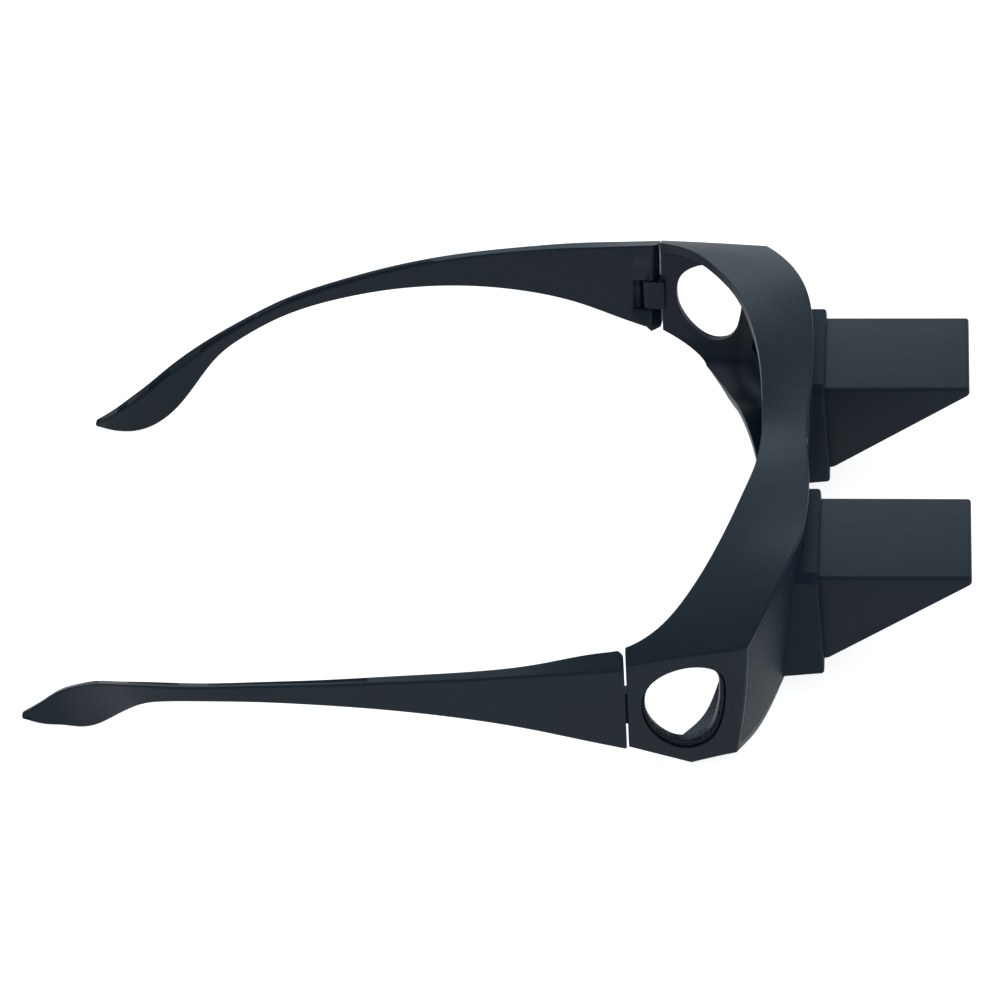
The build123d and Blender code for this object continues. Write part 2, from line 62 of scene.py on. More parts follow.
REST_PITCH = math.atan2(5.7, 145.5)
WORN_ORIGIN = np.array([0.0, -0.065745034, 0.026644511])

# Points closer than the first become one, and edges that turn by more than the second are rounded
MERGE_DISTANCE = 1e-6
SHARP_TURN = math.radians(30)
TEMPLE_SEGMENTS = 3
LIP_SEGMENTS = 2


def to_row(points):
    """Points of the worn frame as they lie on the floor: y and z turned by the resting pitch."""
    x, y, z = np.moveaxis(np.asarray(points), -1, 0)
    sine, cosine = math.sin(REST_PITCH), math.cos(REST_PITCH)
    return WORN_ORIGIN + np.stack([x, y * cosine - z * sine, y * sine + z * cosine], axis=-1)


def spline_through(places, values, wanted, looped=False):
    """Rows of a cubic spline through rows of values: its second slopes M at the given places solve
    h0 M0 + 2 (h0 + h1) M1 + h1 M2 = 6 (slope 1 - slope 0), and are zero at open ends. A looped
    spline is an open one over three turns, of which the middle turn is read."""
    if looped:
        span = places[-1] - places[0]
        places = np.concatenate([places[:-1] - span, places[:-1], places + span])
        values = np.concatenate([values[:-1], values[:-1], values])
    gaps = np.diff(places)
    slopes = np.diff(values, axis=0) / gaps[:, None]
    system = np.eye(len(places))
    inner = np.arange(1, len(places) - 1)
    system[inner, inner - 1] = gaps[:-1]
    system[inner, inner] = 2 * (gaps[:-1] + gaps[1:])
    system[inner, inner + 1] = gaps[1:]
    target = np.zeros(values.shape)
    target[inner] = 6 * np.diff(slopes, axis=0)
    bends = np.linalg.solve(system, target)
    index = np.clip(np.searchsorted(places, wanted, side="right") - 1, 0, len(gaps) - 1)
    gap = gaps[index][:, None]
    after = (wanted - places[index])[:, None]
    before = gap - after
    curve = (bends[index] * before**3 + bends[index + 1] * after**3) / (6 * gap)
    straight = values[index] * before / gap + values[index + 1] * after / gap
    return straight + curve - gap * (bends[index] * before + bends[index + 1] * after) / 6


def skin(name, rings, first_faces=None):
    """A closed skin over a grid of rings: points j and j + 1 of rings i and i + 1 make a face,
    round each ring, and faces close the first and the last ring. Points that coincide are
    merged, and all faces turned outwards."""
    count, size = rings.shape[:2]
    ring, point = np.meshgrid(np.arange(count - 1) * size, np.arange(size), indexing="ij")
    after = (point + 1) % size
    corners = [ring + point, ring + after, ring + size + after, ring + size + point]
    faces = np.stack(corners, axis=-1).reshape(-1, 4).tolist()
    faces += first_faces or [tuple(range(size))]
    faces.append(tuple(range((count - 1) * size, count * size)))
    mesh = bpy.data.meshes.new(name)
    mesh.from_pydata(rings.reshape(-1, 3).tolist(), [], faces)
    shell = bmesh.new()
    shell.from_mesh(mesh)
    bmesh.ops.remove_doubles(shell, verts=shell.verts, dist=MERGE_DISTANCE)
    bmesh.ops.recalc_face_normals(shell, faces=shell.faces)
    shell.to_mesh(mesh)
    shell.free()
    piece = bpy.data.objects.new(name, mesh)
    bpy.context.scene.collection.objects.link(piece)
    return piece


def extruded(name, outline, low, high):
    """A block with a side view: the outline's y and z, once at each of two x."""
    ring = np.insert(np.asarray(outline), 0, 0.0, axis=1)
    return skin(name, to_row(np.stack([ring + (low, 0.0, 0.0), ring + (high, 0.0, 0.0)])))


def cut(piece, *cutters):
    """Takes the cutters' space out of a piece, one after the other, and puts the cutters away."""
    for cutter in cutters:
        step = piece.modifiers.new("Cut", "BOOLEAN")
        step.operation = "DIFFERENCE"
        step.solver = "EXACT"
        step.object = cutter
    settled = bpy.data.meshes.new_from_object(
        piece.evaluated_get(bpy.context.evaluated_depsgraph_get())
    )
    piece.modifiers.clear()
    piece.data = settled
    for cutter in cutters:
        bpy.data.objects.remove(cutter)


def read(items, name, width=1, kind=np.float64):
    """One value of every item of a mesh, as an array with a row for each item."""
    values = np.empty(len(items) * width, kind)
    items.foreach_get(name, values)
    return values.reshape(-1, width) if width > 1 else values


def sharp_edges(mesh, spared):
    """1 for each edge to be rounded, else 0. Such an edge joins two faces whose normals turn by
    more than the sharp turn, arccos(n1 . n2), and hasn't both ends inside a spared box."""
    edge_of_corner = read(mesh.loops, "edge_index", kind=np.int32)
    face_of_corner = np.repeat(
        np.arange(len(mesh.polygons)), read(mesh.polygons, "loop_total", kind=np.int32)
    )
    corners = np.bincount(edge_of_corner, minlength=len(mesh.edges))
    joined = np.flatnonzero(corners == 2)
    first = (np.cumsum(corners) - corners)[joined]
    order = np.argsort(edge_of_corner, kind="stable")
    normals = read(mesh.polygons, "normal", 3)
    one, other = normals[face_of_corner[order[first]]], normals[face_of_corner[order[first + 1]]]
    sharp = np.zeros(len(mesh.edges), dtype=bool)
    sharp[joined] = np.sum(one * other, axis=1) < math.cos(SHARP_TURN)
    ends = read(mesh.vertices, "co", 3)[read(mesh.edges, "vertices", 2, np.int32)]
    for low, high in spared:
        sharp &= ~np.all((ends > low) & (ends < high), axis=(1, 2))
    return sharp.astype(np.float32)


def round_edges(piece, radius, segments, spared=()):
    """Rounds a piece's sharp edges, but for those in a spared box, and shades it smooth."""
    mesh = piece.data
    weights = mesh.attributes.new(name="bevel_weight_edge", type="FLOAT", domain="EDGE")
    weights.data.foreach_set("value", sharp_edges(mesh, spared))
    mesh.shade_smooth()
    bevel = piece.modifiers.new("Rounded edges", "BEVEL")
    bevel.limit_method = "WEIGHT"
    bevel.width = radius
    bevel.segments = segments
    bevel.use_clamp_overlap = False
    bevel.harden_normals = True


def seat(piece, node, body, material):
    """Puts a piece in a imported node's place, on its body and with its finish."""
    piece.data.materials.clear()
    piece.data.materials.append(bpy.data.materials[material])
    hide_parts(node)
    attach(piece, body)


# Temple: share of the length, then shares of sweep, drop, root height and root thickness, and the
# lean and the crown of the top edge
TEMPLE_STATIONS = np.array(
    [
        (0.0, 0.03, 0.0, 1.0, 1.0, 0.061, 0.34),
        (0.058, 0.016, 0.013, 0.869, 0.957, 0.054, 0.31),
        (0.148, 0.0, 0.03, 0.671, 0.7, 0.042, 0.14),
        (0.245, 0.0, 0.0625, 0.493, 0.57, 0.03, 0.1),
        (0.359, 0.028, 0.105, 0.352, 0.52, 0.013, 0.04),
        (0.48, 0.098, 0.174, 0.249, 0.48, 0.0, -0.05),
        (0.578, 0.197, 0.247, 0.197, 0.465, -0.048, -0.15),
        (0.675, 0.327, 0.342, 0.174, 0.485, -0.054, -0.2),
        (0.74, 0.465, 0.428, 0.183, 0.525, -0.05, -0.2),
        (0.789, 0.59, 0.497, 0.254, 0.55, 0.0, -0.3),
        (0.828, 0.7, 0.56, 0.408, 0.59, 0.115, -0.4),
        (0.868, 0.827, 0.638, 0.526, 0.57, 0.054, -0.4),
        (0.904, 0.933, 0.727, 0.502, 0.53, -0.028, -0.45),
        (0.935, 0.988, 0.809, 0.404, 0.48, -0.058, -0.4),
        (0.967, 1.0, 0.908, 0.249, 0.41, -0.11, -0.4),
        (1.0, 0.995, 1.0, 0.056, 0.3, -0.1, -0.2),
    ]
)
TEMPLE_FRONT = 0.0366
TEMPLE_LENGTH = 0.1234
TEMPLE_HALF_WIDTH = 0.078
TEMPLE_SWEEP = 0.0254
TEMPLE_TOP = 0.0001
TEMPLE_DROP = 0.0304
ROOT_HEIGHT = 0.0201
ROOT_THICKNESS = 0.0047
END_SLANT = 0.00045
ROOT_CHAMFER = 0.0009
CHAMFER_STEP = 0.0032
CHAMFER_SHARE = 0.19
ROOT_STATIONS = 12
ARM_STATIONS = 150

# The hinge in the temple's root: its axis, the slot round the frame's lug, and the recess for the
# screw's head, from under the temple
HINGE_OUT = 0.0735
HINGE_BACK = 0.0393
SLOT_TOP = -0.00705
SLOT_BOTTOM = -0.01465
SLOT_RADIUS = 0.00185
SLOT_END = 0.04275
RECESS_RADIUS = 0.00115
RECESS_FLOOR = -0.01785
RECESS_MOUTH = -0.025
RECESS_POINTS = 32

# Boxes, each from one corner to the far one, whose edges stay crisp: the slot, where a rounding
# would meet the lug, and the end's outer edge, where it would widen the gap to the frame
CRISP_BOXES = np.array(
    [
        [(0.070, 0.0360, -0.0175), (0.0763, 0.0435, -0.004)],
        [(0.0755, 0.0360, -0.0215), (0.0785, 0.0368, 0.0015)],
    ]
)

# The temple's front end: two blocks over and under the hinge slot, their chamfers, and the web
TEMPLE_FRONT_FACES = [
    (0, 1, 4, 5, 13),
    (1, 2, 3, 4),
    (13, 5, 6, 12),
    (6, 7, 10, 11, 12),
    (7, 8, 9, 10),
]


def temple_rings():
    """Rings of the left temple. Each station has the four corners of its section, from splines
    through the table, and ten points between them that open the hinge slot in its inner face: the
    slot is as deep as a circle round the hinge, x = hinge + root(r^2 - y^2), and ends in a step.
    The first ring leans back towards the face by the end's slant and the chamfer."""
    slot_share = (SLOT_END - TEMPLE_FRONT) / TEMPLE_LENGTH
    root = np.linspace(CHAMFER_STEP / TEMPLE_LENGTH, slot_share, ROOT_STATIONS)
    near = np.concatenate([[0.0], root])
    along = np.concatenate([near, np.linspace(slot_share, 1.0, ARM_STATIONS)])
    open_slot = np.arange(len(along)) < len(near)
    sweep, drop, tall, thick, lean, crown = spline_through(
        TEMPLE_STATIONS[:, 0], TEMPLE_STATIONS[:, 1:], along
    ).T
    back = TEMPLE_FRONT + TEMPLE_LENGTH * along
    out = TEMPLE_HALF_WIDTH - TEMPLE_SWEEP * sweep
    top = TEMPLE_TOP - TEMPLE_DROP * drop
    bottom = top - ROOT_HEIGHT * tall
    width = ROOT_THICKNESS * thick
    shift = ROOT_HEIGHT * tall * lean
    crest = top + width * crown

    def heights(level):
        """The slot's edge, then a line that keeps its share of the inner face's height."""
        share = (crest - level) / (crest - bottom)
        return np.where(open_slot, level, crest - share[len(near) - 1] * (crest - bottom))

    def inner(height):
        """x of the inner face at a height."""
        return out - width - shift * (crest - height) / (crest - bottom)

    def outer(height):
        """x of the outer face at a height."""
        return out - shift * (top - height) / (top - bottom)

    high, low = heights(SLOT_TOP), heights(SLOT_BOTTOM)
    reach = np.maximum(back - HINGE_BACK, 0.0)
    deep = HINGE_OUT + np.sqrt(np.maximum(SLOT_RADIUS**2 - reach**2, 0.0))
    chamfer = np.where(along == 0.0, inner(crest) + ROOT_CHAMFER, 0.0)

    def middle(face):
        """x between the inner face and the outer one: on the chamfer's edge in the first ring."""
        return np.where(along == 0.0, chamfer, face + CHAMFER_SHARE * width)

    def slot_deep(face):
        """x of the slot's bottom, and of the inner face behind the slot."""
        return np.where(open_slot, np.maximum(deep, face), face)

    def slot_middle(face):
        """x on the slot's walls, between its mouth and its bottom."""
        return np.where(open_slot, np.minimum(middle(face), slot_deep(face)), face)

    across = [
        (out, top),
        (middle(inner(crest)), crest - CHAMFER_SHARE * width * crown),
        (inner(crest), crest),
        (inner(high), high),
        (slot_middle(inner(high)), high),
        (slot_deep(inner(high)), high),
        (slot_deep(inner(low)), low),
        (slot_middle(inner(low)), low),
        (inner(low), low),
        (inner(bottom), bottom),
        (middle(inner(bottom)), bottom),
        (outer(bottom), bottom),
        (outer(low), low),
        (outer(high), high),
    ]
    x = np.stack([column for column, _ in across], axis=1)
    z = np.stack([column for _, column in across], axis=1)
    y = np.repeat(back[:, None], x.shape[1], axis=1)
    y[0] += END_SLANT * (out[0] - x[0]) / ROOT_THICKNESS + np.maximum(chamfer[0] - x[0], 0.0)
    return np.stack([x, y, z], axis=-1)


def recess_rings():
    """Two rings of a round bar on the left hinge's axis, from under the temple to the recess's
    floor: x and y are the axis plus the radius times cosine and sine."""
    turn = np.linspace(0.0, 2 * math.pi, RECESS_POINTS, endpoint=False)
    x = HINGE_OUT + RECESS_RADIUS * np.cos(turn)
    y = HINGE_BACK + RECESS_RADIUS * np.sin(turn)
    rim = np.stack([x, y, 0 * turn], axis=1)
    return np.stack([rim + (0.0, 0.0, height) for height in (RECESS_MOUTH, RECESS_FLOOR)])


# Prism covers and prisms
PRISM_MIDDLE = 0.03305
COVER_WIDTH = 0.0273
COVER_LENGTH = 0.0296
COVER_HEIGHT = 0.0199
COVER_WALL = 0.0016
COVER_LIP = 0.0015
COVER_HEEL = 0.001
COVER_BACK = 0.00148
PRISM_CLEARANCE = 0.0001
SLOPE = (COVER_HEIGHT - COVER_LIP) / (COVER_LENGTH - COVER_HEEL)
CORNER_STEPS = 6
SMALLEST_BEND_SHARE = 0.05

# How far the blocks that hollow a cover reach past it: behind it, under it and before it
HOLLOW_MOUTH = 0.01
HOLLOW_BOTTOM = -0.026
HOLLOW_FRONT = -0.031


def slope_height(y):
    """Height of a cover's slanted underside at a distance back."""
    return -COVER_LIP - (y + COVER_LENGTH) * SLOPE


def slope_back(z):
    """Distance back at which the slanted underside has a height."""
    return (-COVER_LIP - z) / SLOPE - COVER_LENGTH


def cover_rings(radius):
    """Rings of a solid box with rounded long edges and a rounded front: each ring is a rounded
    rectangle, and over the first radius it grows by the sine of an angle while y falls back by
    its cosine."""
    turn = np.linspace(0.0, math.pi / 2, CORNER_STEPS + 1)
    inset = np.concatenate([radius * (1 - np.sin(turn)), [0.0]])[:, None]
    back = np.concatenate([radius * (1 - np.cos(turn)) - COVER_LENGTH, [COVER_BACK]])
    corner = (np.arange(4)[:, None] * math.pi / 2 + turn).ravel()
    quarter = np.repeat(np.arange(4), CORNER_STEPS + 1)
    out = np.where((quarter == 0) | (quarter == 3), 1.0, -1.0)
    up = np.where(quarter < 2, 1.0, -1.0)
    bend = np.maximum(radius - inset, radius * SMALLEST_BEND_SHARE)
    half_width = COVER_WIDTH / 2 - inset
    half_height = COVER_HEIGHT / 2 - inset
    x = PRISM_MIDDLE + out * (half_width - bend) + bend * np.cos(corner)
    z = up * (half_height - bend) + bend * np.sin(corner) - COVER_HEIGHT / 2
    y = np.repeat(back[:, None], x.shape[1], axis=1)
    return np.stack([x, y, z], axis=-1)


def cover_cutters():
    """Side views, in y and z, of the two blocks that open a cover: its hollow, one wall inside
    the box and open at the back and below, and all that lies under the slant."""
    front, top = COVER_WALL - COVER_LENGTH, -COVER_WALL
    bottom = COVER_WALL - COVER_HEIGHT
    heel = slope_back(bottom)
    hollow = [
        (HOLLOW_MOUTH, top),
        (front, top),
        (front, HOLLOW_BOTTOM),
        (heel, HOLLOW_BOTTOM),
        (heel, bottom),
        (HOLLOW_MOUTH, bottom),
    ]
    under = [
        (HOLLOW_FRONT, slope_height(HOLLOW_FRONT)),
        (0.0, slope_height(0.0)),
        (0.0, HOLLOW_BOTTOM),
        (HOLLOW_FRONT, HOLLOW_BOTTOM),
    ]
    return hollow, under


def inset_outline(outline, distance):
    """A convex outline moved inwards: each side is pushed in by the distance along its normal, and
    each corner is where its two pushed sides meet."""
    points = np.asarray(outline)
    sides = np.roll(points, -1, axis=0) - points
    sides /= np.linalg.norm(sides, axis=1)[:, None]
    normals = np.stack([-sides[:, 1], sides[:, 0]], axis=1)
    centre = points.mean(axis=0)
    normals *= np.sign(np.sum(normals * (centre - points), axis=1))[:, None]
    levels = np.sum(normals * points, axis=1) + distance
    pairs = np.stack([np.roll(normals, 1, axis=0), normals], axis=1)
    return np.linalg.solve(pairs, np.stack([np.roll(levels, 1), levels], axis=1)[..., None])[..., 0]


def prism_rings(bevel):
    """Rings of a prism: its side view at four places across, smaller by the bevel at both ends."""
    top = -COVER_WALL - PRISM_CLEARANCE
    bottom = COVER_WALL + PRISM_CLEARANCE - COVER_HEIGHT
    front = COVER_WALL + PRISM_CLEARANCE - COVER_LENGTH
    outline = [
        (COVER_BACK, top),
        (front, top),
        (front, slope_height(front)),
        (slope_back(bottom), bottom),
        (COVER_BACK, bottom),
    ]
    half = COVER_WIDTH / 2 - COVER_WALL - PRISM_CLEARANCE
    places = PRISM_MIDDLE + np.array([-half, bevel - half, half - bevel, half])
    views = [inset_outline(outline, bevel), outline, outline, inset_outline(outline, bevel)]
    return np.stack([np.insert(np.asarray(view), 0, x, axis=1) for x, view in zip(places, views)])


# Side lenses: the wall that holds them runs outwards to the back and leans inwards to the floor.
# The window's middle lies on its outer face, which starts at the front's half width.
FRONT_HALF_WIDTH = 0.0721
WALL_FRONT = 0.0134
WALL_LENGTH = 0.0229
WALL_SPREAD = 0.0045
WALL_TOP = 0.0039
WALL_HEIGHT = 0.0319
WALL_LEAN = 0.0018
WINDOW_BACK = 0.0256
WINDOW_DROP = 0.0118
WINDOW_LENGTH = 0.0146
WINDOW_HEIGHT = 0.0186
WINDOW_RUN = WALL_SPREAD / WALL_LENGTH
WINDOW_LEAN = WALL_LEAN / WALL_HEIGHT
WINDOW_MIDDLE = np.array(
    [
        FRONT_HALF_WIDTH
        + (WINDOW_BACK - WALL_FRONT) * WINDOW_RUN
        - (WALL_TOP + WINDOW_DROP) * WINDOW_LEAN,
        WINDOW_BACK,
        -WINDOW_DROP,
    ]
)
LENS_OVERLAP = 0.0008
LENS_INSET = 0.0005
LENS_THICKNESS = 0.0012
LENS_POINTS = 120
LENS_STEPS = 10
LENS_CENTRE_SHARE = 0.02
RIM_TURN_SHARE = 0.9

# The window's outline, in shares of half its length and half its height
WINDOW_SHARES = np.array(
    [
        (1.0, 0.3),
        (0.93, -0.22),
        (0.55, -0.72),
        (-0.05, -1.0),
        (-0.62, -0.86),
        (-0.9, -0.4),
        (-1.0, 0.3),
        (-0.86, 0.8),
        (-0.35, 0.99),
        (0.3, 0.94),
        (0.8, 0.68),
        (1.0, 0.3),
    ]
)


def lens_rings(crown, bevel):
    """Rings of a left side lens, from the middle of its outer face over the rim to the middle of
    its inner face. A ring is the window's outline times a share u, at a height over the wall of
    crown (1 - u^2) on the outer face, with a bevel at both rims."""
    half = np.array([WINDOW_LENGTH, WINDOW_HEIGHT]) / 2 + LENS_OVERLAP
    steps = np.linalg.norm(np.diff(WINDOW_SHARES * half, axis=0), axis=1)
    places = np.concatenate([[0.0], np.cumsum(steps)])
    wanted = np.linspace(0.0, places[-1], LENS_POINTS, endpoint=False)
    outline = half * spline_through(places, WINDOW_SHARES, wanted, looped=True)
    rim = 1 - bevel / half.mean()
    face = np.linspace(LENS_CENTRE_SHARE, rim, LENS_STEPS)
    shares = np.concatenate([face, [1.0, 1.0], face[::-1]])
    outside, inside = -LENS_INSET, -LENS_INSET - LENS_THICKNESS
    heights = np.concatenate(
        [
            outside + crown * (1 - (face / rim) ** 2),
            [outside - bevel, inside + bevel],
            inside + crown * (1 - (face[::-1] / rim) ** 2),
        ]
    )
    along = np.array([WINDOW_RUN, 1.0, 0.0])
    outward = np.array([1.0, -WINDOW_RUN, -WINDOW_LEAN])
    along, outward = along / np.linalg.norm(along), outward / np.linalg.norm(outward)
    upward = np.cross(outward, along)
    flat = shares[:, None, None] * outline
    surface = flat[..., :1] * along + flat[..., 1:] * upward
    return WINDOW_MIDDLE + surface + heights[:, None, None] * outward


# Materials. Noise scales are in waves to the metre.

FLOW_CLOUDS = 38.0
HANDLING_MARKS = 210.0
SPARK_GRAIN = 5200.0
SMUDGES = 150.0
TURNED_RINGS = 9000.0
PAPER_FIBRES = 900.0

PLASTIC_INDEX = 1.5
ACRYLIC_INDEX = 1.49
GRAIN_DEPTH = 0.00002
BASE_GRAIN_DEPTH = 0.00003
FIBRE_DEPTH = 0.00005
EDGE_SAMPLES = 6

# The covers and the bases against the front: rougher, and the bases with less sheen and a paler
# colour. The paler colour is painted light: it stands in for the reflection that the lower sheen
# takes off.
COVER_ROUGHER = 0.03
BASE_ROUGHER = 0.13
BASE_PAINTED_LIGHT_SHARE = 1.3
BASE_SHEEN_SHARE = 0.8

ACRYLIC_TINT = (0.93, 0.98, 0.98, 1.0)
LENS_TINT = (0.1, 0.11, 0.12, 1.0)
LENS_BODY = 0.04
STEEL_GREY = (0.6, 0.6, 0.6, 1.0)
PAPER_GREY = (0.55, 0.55, 0.55, 1.0)
WHITE = (1.0, 1.0, 1.0, 1.0)


def scaled(colour, share):
    """A colour with its three lights multiplied by a share."""
    return (*(share * light for light in colour[:3]), 1.0)


class Signal:
    """A shader socket that takes part in sums: each operator adds its Math node."""

    def __init__(self, shader, socket):
        self.shader = shader
        self.socket = socket

    def calculate(self, operation, first, second=0.0):
        """One Math node on two values or sockets."""
        return self.shader.node("ShaderNodeMath", {"operation": operation}, {0: first, 1: second})

    def __add__(self, other):
        return self.calculate("ADD", self, other)

    def __sub__(self, other):
        return self.calculate("SUBTRACT", self, other)

    def __rsub__(self, other):
        return self.calculate("SUBTRACT", other, self)

    def __mul__(self, other):
        return self.calculate("MULTIPLY", self, other)

    __radd__ = __add__
    __rmul__ = __mul__


class Shader:
    """The node tree of a material or a world."""

    def __init__(self, owner):
        self.owner = owner
        self.owner.use_nodes = True
        self.tree = self.owner.node_tree
        self.tree.nodes.clear()

    def node(self, kind, settings, sockets, output=0):
        """Adds a node of a kind, sets its settings, then its input values or links."""
        made = self.tree.nodes.new(kind)
        for name, value in settings.items():
            if name == "stops":
                self.set_stops(made.color_ramp, value)
            else:
                setattr(made, name, value)
        for key, value in sockets.items():
            if isinstance(value, Signal):
                self.tree.links.new(value.socket, made.inputs[key])
            else:
                made.inputs[key].default_value = value
        return Signal(self, made.outputs[output]) if made.outputs else None

    def set_stops(self, ramp, stops):
        """Gives a colour ramp its two stops, each a place and a grey or a colour's three lights."""
        for element, (place, lights) in zip(ramp.elements, stops):
            element.position = place
            element.color = (*np.broadcast_to(lights, 3).tolist(), 1.0)

    def place(self):
        """The point in the piece's own space, in metres."""
        return self.node("ShaderNodeTexCoord", {}, {}, "Object")

    def noise(self, scale, detail):
        """Even three-dimensional noise, from 0 to 1."""
        sockets = {"Vector": self.place(), "Scale": scale, "Detail": detail}
        return self.node("ShaderNodeTexNoise", {}, sockets, "Fac")

    def ramp(self, signal, *stops):
        """A signal remapped through two stops."""
        return self.node("ShaderNodeValToRGB", {"stops": stops}, {"Fac": signal})

    def blend(self, share, first, second):
        """Two colours mixed by a share."""
        return self.node(
            "ShaderNodeMix",
            {"data_type": "RGBA"},
            {"Factor": share, "A": first, "B": second},
            "Result",
        )

    def soft_edge(self, radius):
        """The surface's normal, rounded off near an edge."""
        return self.node("ShaderNodeBevel", {"samples": EDGE_SAMPLES}, {"Radius": radius})

    def bump(self, height, distance, strength, normal=None):
        """A normal from a height signal, on top of another normal."""
        sockets = {"Height": height, "Distance": distance, "Strength": strength}
        if normal:
            sockets["Normal"] = normal
        return self.node("ShaderNodeBump", {}, sockets)

    def principled(self, sockets):
        """Ends the tree in the general surface shader and returns the material."""
        return self.finish(self.node("ShaderNodeBsdfPrincipled", {}, sockets))

    def finish(self, surface, kind="ShaderNodeOutputMaterial"):
        """Ends the tree in an output and returns its owner."""
        self.node(kind, {}, {"Surface": surface})
        return self.owner


def srgb(red, green, blue):
    """A colour from 8-bit display values to the linear values that a shader takes."""
    share = np.array([red, green, blue]) / 255
    linear = np.where(share <= 0.04045, share / 12.92, ((share + 0.055) / 1.055) ** 2.4)
    return (*linear.tolist(), 1.0)


def moulded_plastic(name, colour, grain, roughness, sheen, edge_radius):
    """Satin moulded plastic: a fine spark-eroded grain, faint flow clouds and soft edges."""
    shader = Shader(bpy.data.materials.new(name))
    clouds = shader.noise(FLOW_CLOUDS, 2.0)
    fine = shader.noise(SPARK_GRAIN, 2.0)
    handled = shader.noise(HANDLING_MARKS, 4.0)
    flow = shader.ramp(clouds, (0.3, 0.0), (0.7, 1.0))
    return shader.principled(
        {
            "Base Color": shader.blend(flow, scaled(colour, 0.9), (*colour[:3], 1.0)),
            "Roughness": roughness + (clouds - 0.5) * 0.06 + (handled - 0.5) * 0.05,
            "IOR": PLASTIC_INDEX,
            "Specular IOR Level": sheen,
            "Normal": shader.bump(fine, grain, 0.35, shader.soft_edge(edge_radius)),
        }
    )


def clear_plastic(name, tint, roughness, clarity):
    """Clear polished plastic with faint smudges. Its clarity is given as the shader's own sockets:
    a block bends light by its refractive index, and a thin pane only lets most of it through."""
    shader = Shader(bpy.data.materials.new(name))
    smudges = shader.ramp(shader.noise(SMUDGES, 3.0), (0.45, 0.0), (0.75, 1.0))
    return shader.principled(
        {"Base Color": tint, "Roughness": roughness + smudges * 0.04, **clarity}
    )


def turned_steel(name, colour):
    """Bright turned steel with fine rings."""
    shader = Shader(bpy.data.materials.new(name))
    rings = shader.noise(TURNED_RINGS, 2.0)
    return shader.principled(
        {
            "Base Color": shader.blend(rings, scaled(colour, 0.8), colour),
            "Metallic": 1.0,
            "Roughness": 0.25 + rings * 0.15,
        }
    )


def floor_paper(name, colour, glow):
    """Matt pale paper on a light table."""
    shader = Shader(bpy.data.materials.new(name))
    fibres = shader.noise(PAPER_FIBRES, 3.0)
    return shader.principled(
        {
            "Base Color": colour,
            "Roughness": 0.9 + fibres * 0.05,
            "Specular IOR Level": 0.1,
            "Emission Color": WHITE,
            "Emission Strength": glow,
            "Normal": shader.bump(fibres, FIBRE_DEPTH, 0.1),
        }
    )


def dress(stem, material):
    """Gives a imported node, or its left and right pair, a material."""
    for name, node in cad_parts.items():
        if name == stem or name.rsplit("_", 1)[0] == stem:
            node.data.materials.clear()
            node.data.materials.append(material)


# Stage. The horizon and overhead are heights on the world's unit sphere. The camera's place, and
# its turns in degrees, were fitted to the photograph.

HORIZON = 0.1
OVERHEAD = 0.9
SOFTBOX_PLACE = (1.6, 0.3, 1.1)
SENSOR_WIDTH = 36.0
CAMERA_CLIP = 0.01
CAMERA_PLACE = (-0.798143, -0.106507, 0.573033)
CAMERA_ANGLES = (55.117968, 5.014951, -85.781795)

# Settings


class FrontSettings(bpy.types.PropertyGroup):
    """Colour and finish of the front's plastic, which the other moulded parts share."""

    colour: bpy.props.FloatVectorProperty(
        name="Plastic",
        description="Colour of the front, the covers and the temples; the bases are paler",
        default=srgb(15, 26, 34)[:3],
        subtype="COLOR",
        min=0.0,
        max=1.0,
    )
    roughness: bpy.props.FloatProperty(
        name="Roughness",
        description="How matt the moulded surface is",
        default=0.42,
        min=0.0,
        max=1.0,
        subtype="FACTOR",
    )
    sheen: bpy.props.FloatProperty(
        name="Sheen",
        description="How strongly the plastic mirrors its surroundings",
        default=0.14,
        min=0.0,
        max=1.0,
        subtype="FACTOR",
    )
    edge_radius: bpy.props.FloatProperty(
        name="Edge radius",
        description="Rounding of the moulded edges",
        default=0.0004,
        unit="LENGTH",
        precision=5,
    )


class PieceSettings(bpy.types.PropertyGroup):
    """Roundings of the temples, the covers, the prisms and the lenses."""

    temple_edge: bpy.props.FloatProperty(
        name="Temple edge",
        description="Rounding of the temples' long edges and of their front end",
        default=0.00045,
        unit="LENGTH",
        precision=5,
    )
    cover_edge: bpy.props.FloatProperty(
        name="Cover edge",
        description="Rounding of the covers' long edges and of their front",
        default=0.0007,
        unit="LENGTH",
        precision=5,
    )
    cover_lip: bpy.props.FloatProperty(
        name="Cover lip",
        description="Rounding of the covers' open rims",
        default=0.00015,
        unit="LENGTH",
        precision=5,
    )
    prism_bevel: bpy.props.FloatProperty(
        name="Prism bevel",
        description="Width of the bevel round both sides of a prism",
        default=0.0004,
        unit="LENGTH",
        precision=5,
    )
    lens_crown: bpy.props.FloatProperty(
        name="Lens crown",
        description="How far the middle of a side lens stands over its rim",
        default=0.00025,
        unit="LENGTH",
        precision=5,
    )
    lens_bevel: bpy.props.FloatProperty(
        name="Lens bevel",
        description="Width of the bevel round a side lens",
        default=0.0003,
        unit="LENGTH",
        precision=5,
    )


